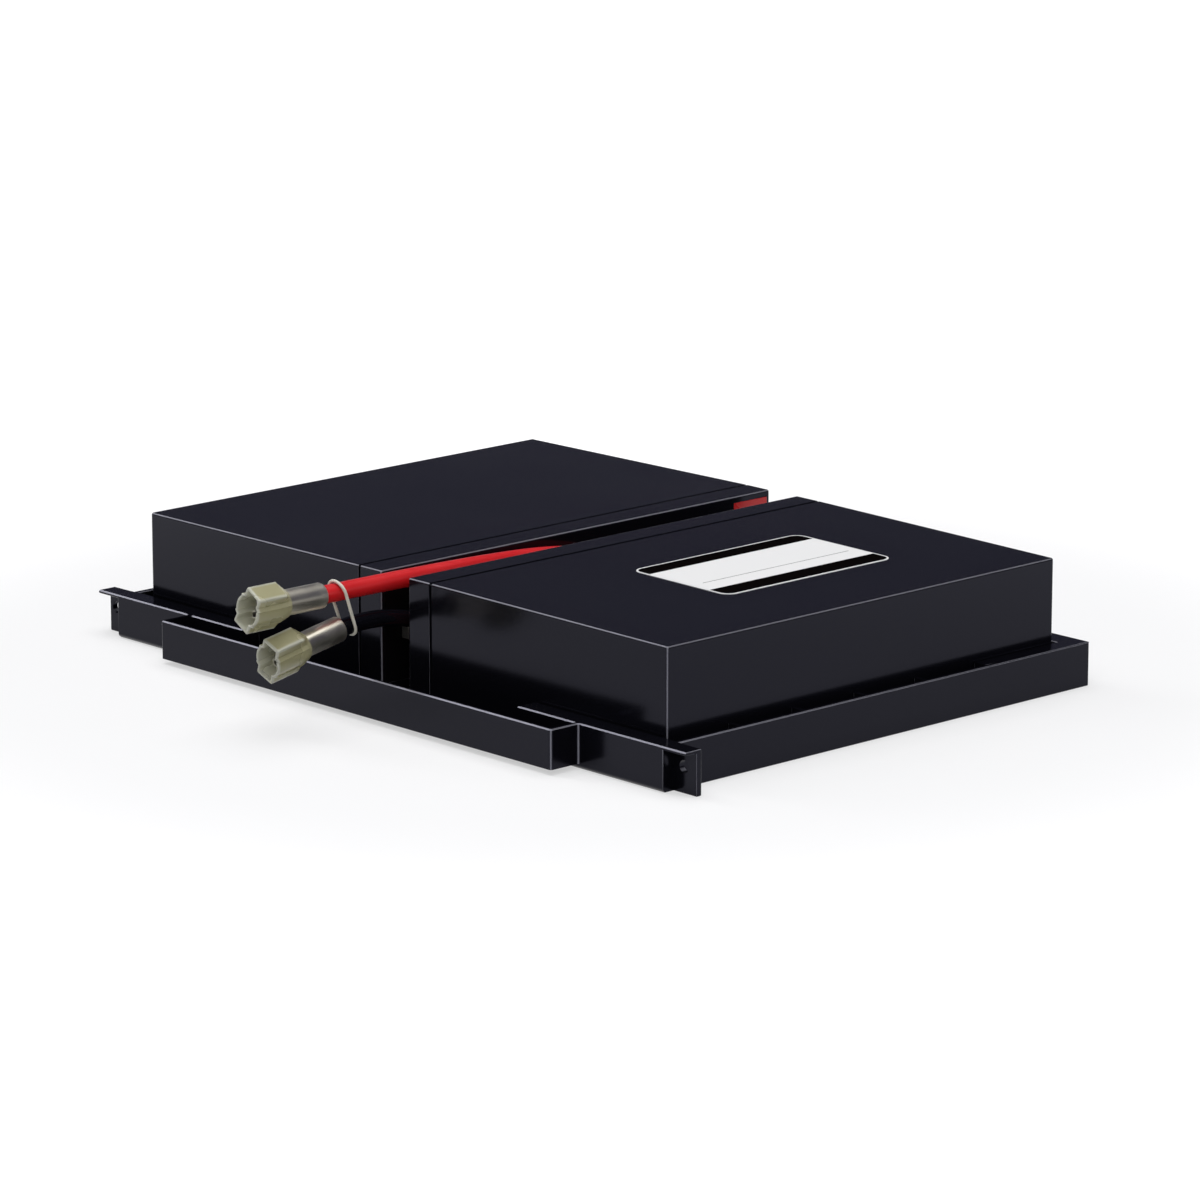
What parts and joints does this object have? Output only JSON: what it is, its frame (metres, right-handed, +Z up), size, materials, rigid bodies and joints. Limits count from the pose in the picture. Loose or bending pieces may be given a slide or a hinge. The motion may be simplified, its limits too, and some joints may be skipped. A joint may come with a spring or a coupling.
{
  "type": "ups battery cartridge",
  "caption": "Flat cartridge of rack UPS batteries in a black moulded tray with a front trough and screw ears, with a red and a black lead to booted spade connectors.",
  "frame": {"origin": "at the level the tray stands on, under the middle of the tray with its front trough", "axes": "+X to the right along the tray's width, -Y to the front (front trough, screw ears, connectors), +Z up"},
  "size_m": [0.2472, 0.2114, 0.0431],
  "materials": {
    "tray_plastic": "moulded, semi-gloss",
    "case_plastic": "moulded, glossy",
    "valve_rubber": "matt",
    "red_plastic": "glossy",
    "black_plastic": "matt",
    "tinned_brass": "tin-plated",
    "lead_oxide": "porous paste on a lead grid",
    "lead_metal": "cast lead",
    "glass_mat": "absorbent glass mat",
    "foam_tape": "closed-cell foam",
    "label_film": "printed film, without print",
    "boot_nylon": "translucent nylon",
    "nickel_sleeve": "nickel-plated, satin",
    "red_insulation": "glossy PVC",
    "black_insulation": "glossy PVC",
    "tie_nylon": "natural nylon"
  },
  "bodies": {
    "root": {"battery_label": "label_film", "black_lead": "black_insulation", "black_terminal_clip": "tinned_brass", "left_case": "case_plastic", "left_lead_straps": "lead_metal", "left_lid": "case_plastic", "left_negative_base": "black_plastic", "left_negative_plates": "lead_metal", "left_negative_tab": "tinned_brass", "left_positive_base": "red_plastic", "left_positive_plates": "lead_oxide", "left_positive_tab": "tinned_brass", "left_separators": "glass_mat", "left_tape": "foam_tape", "left_valve_caps": "valve_rubber", "left_vent_cover": "case_plastic", "lower_boot": "boot_nylon", "lower_sleeve": "nickel_sleeve", "lower_spade": "tinned_brass", "red_lead": "red_insulation", "red_terminal_clip": "tinned_brass", "right_case": "case_plastic", "right_lead_straps": "lead_metal", "right_lid": "case_plastic", "right_negative_base": "black_plastic", "right_negative_plates": "lead_metal", "right_negative_tab": "tinned_brass", "right_positive_base": "red_plastic", "right_positive_plates": "lead_oxide", "right_positive_tab": "tinned_brass", "right_separators": "glass_mat", "right_tape": "foam_tape", "right_valve_caps": "valve_rubber", "right_vent_cover": "case_plastic", "tie_loop": "tie_nylon", "tray": "tray_plastic", "upper_boot": "boot_nylon", "upper_sleeve": "nickel_sleeve", "upper_spade": "tinned_brass"}
  },
  "joints": []
}
